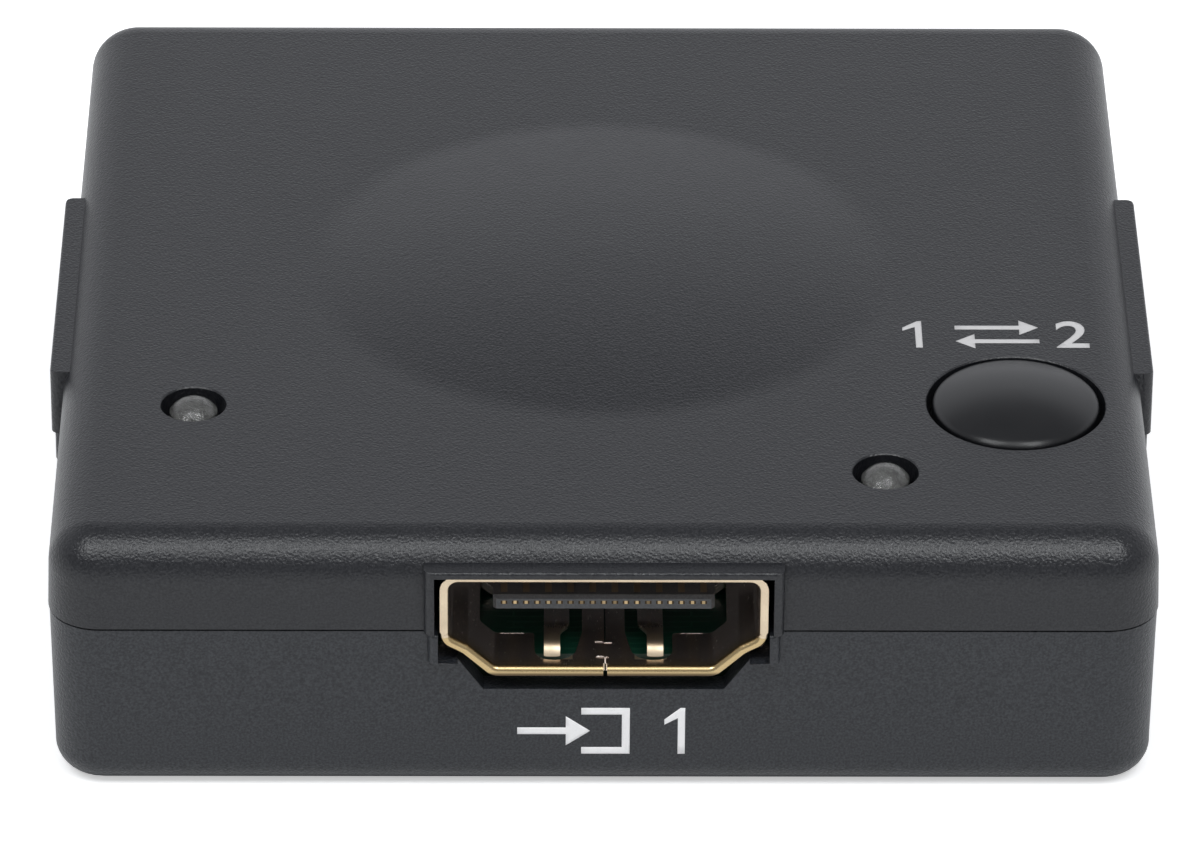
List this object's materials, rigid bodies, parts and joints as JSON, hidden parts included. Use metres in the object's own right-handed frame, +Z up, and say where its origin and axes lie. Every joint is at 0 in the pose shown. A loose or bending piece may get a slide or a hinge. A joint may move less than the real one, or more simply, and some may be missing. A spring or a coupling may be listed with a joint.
{
  "type": "hdmi switch box",
  "caption": "Flat plastic switch box with video sockets in bossed openings on its front and sides, a crowned select button, clear indicator lamps and a shallow dome on top.",
  "frame": {"origin": "middle of the flat underside of the case", "axes": "+X to the right and +Y to the back, seen from the front socket; +Z up through the top"},
  "size_m": [0.0514, 0.0506, 0.0139],
  "materials": {
    "case_plastic": "fine spark-textured charcoal plastic",
    "button_plastic": "smooth semi-gloss black plastic",
    "shell_gold": "thin gold plating on formed sheet",
    "contact_gold": "gold-plated contacts",
    "tongue_plastic": "dark grey moulded insulator",
    "board_green": "green solder resist over laminate",
    "plated_steel": "tin or zinc plated",
    "lamp_clear": "water-clear moulded lens",
    "chip_plastic": "black moulding compound",
    "ceramic_tan": "fired ceramic"
  },
  "bodies": {
    "case": {"top_cover": "case_plastic", "bottom_cover": "case_plastic", "case_screws": "plated_steel", "circuit_board": "board_green", "front_port_shell": "shell_gold", "front_port_tongue": "tongue_plastic", "front_port_contacts": "contact_gold", "left_port_shell": "shell_gold", "left_port_tongue": "tongue_plastic", "left_port_contacts": "contact_gold", "right_port_shell": "shell_gold", "right_port_tongue": "tongue_plastic", "right_port_contacts": "contact_gold", "tact_base": "chip_plastic", "tact_cover": "plated_steel", "tact_snap_dome": "plated_steel", "tact_terminals": "plated_steel", "left_lamp_lens": "lamp_clear", "left_lamp_leads": "plated_steel", "right_lamp_lens": "lamp_clear", "right_lamp_leads": "plated_steel", "switch_chip": "chip_plastic", "switch_chip_pins": "plated_steel", "regulator": "chip_plastic", "chip_capacitors": "ceramic_tan", "chip_resistors": "chip_plastic"},
    "button": {"select_button": "button_plastic"},
    "plunger": {"tact_plunger": "chip_plastic"}
  },
  "joints": [
    {"name": "button_press", "type": "slide", "parent": "case", "child": "button", "axis": [0, 0, -1], "range_m": [0, 0.00025], "stiffness_N_per_m": 6000},
    {"name": "plunger_press", "type": "slide", "parent": "case", "child": "plunger", "axis": [0, 0, -1], "range_m": [0, 0.00025], "deforming": ["tact_snap_dome"]}
  ],
  "couplings": [
    {"joint": "plunger_press", "follows": "button_press", "ratio": 1}
  ]
}
